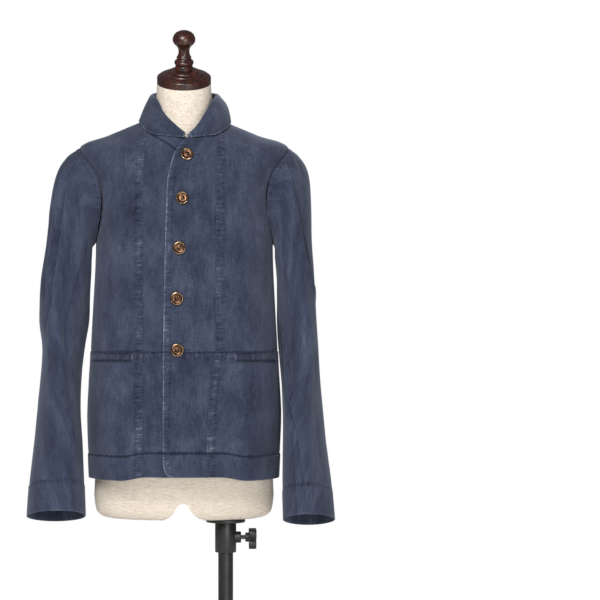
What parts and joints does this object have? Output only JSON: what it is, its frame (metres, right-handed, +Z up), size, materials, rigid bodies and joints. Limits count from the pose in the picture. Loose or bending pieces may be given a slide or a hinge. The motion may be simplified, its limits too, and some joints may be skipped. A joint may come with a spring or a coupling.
{
  "type": "shawl collar jacket on dress form",
  "caption": "Buttoned long-sleeved work jacket with a small rounded turn-down collar and welt pockets, worn by a limbless dress form on a pole stand with a round base.",
  "frame": {"origin": "on the floor, straight below the middle of the jacket's body", "axes": "+Z up, the jacket's front faces -Y, the wearer's left is +X"},
  "size_m": [0.5101, 0.34, 1.342],
  "materials": {
    "jacket_cloth": "woven cotton, faded dark slate blue",
    "button_metal": "aged brass with a raised rim",
    "form_linen": "natural linen",
    "turned_wood": "dark reddish brown, polished",
    "black_metal": "black satin paint",
    "knob_plastic": "black",
    "screw_steel": "bright zinc"
  },
  "bodies": {
    "base": {"base": "black_metal", "base_hub": "black_metal"},
    "pole": {"pole": "black_metal"},
    "form": {"back_left": "jacket_cloth", "back_right": "jacket_cloth", "underarm_left": "jacket_cloth", "underarm_right": "jacket_cloth", "front_side_left": "jacket_cloth", "front_side_right": "jacket_cloth", "front_centre_left": "jacket_cloth", "front_centre_right": "jacket_cloth", "front_skirt_left": "jacket_cloth", "front_skirt_right": "jacket_cloth", "hip_skirt_left": "jacket_cloth", "hip_skirt_right": "jacket_cloth", "side_skirt_left": "jacket_cloth", "side_skirt_right": "jacket_cloth", "pocket_welt_left": "jacket_cloth", "pocket_welt_right": "jacket_cloth", "sleeve_top_left": "jacket_cloth", "sleeve_top_right": "jacket_cloth", "sleeve_under_left": "jacket_cloth", "sleeve_under_right": "jacket_cloth", "collar": "jacket_cloth", "button_1": "button_metal", "button_2": "button_metal", "button_3": "button_metal", "button_4": "button_metal", "button_5": "button_metal", "dress_form": "form_linen", "neck_cap": "turned_wood", "finial": "turned_wood", "flange": "black_metal", "socket": "black_metal"},
    "knob": {"clamp_knob": "knob_plastic", "clamp_screw": "screw_steel"}
  },
  "joints": [
    {"name": "pole_swivel", "type": "hinge", "parent": "base", "child": "pole", "pos_m": [0.07, 0, 0], "axis": [0, 0, 1], "continuous": true},
    {"name": "height_slide", "type": "slide", "parent": "pole", "child": "form", "axis": [0, 0, 1], "range_m": [0, 0.2]},
    {"name": "knob_turn", "type": "hinge", "parent": "form", "child": "knob", "pos_m": [0.103, 0, 0.4905], "axis": [1, 0, 0], "continuous": true}
  ]
}
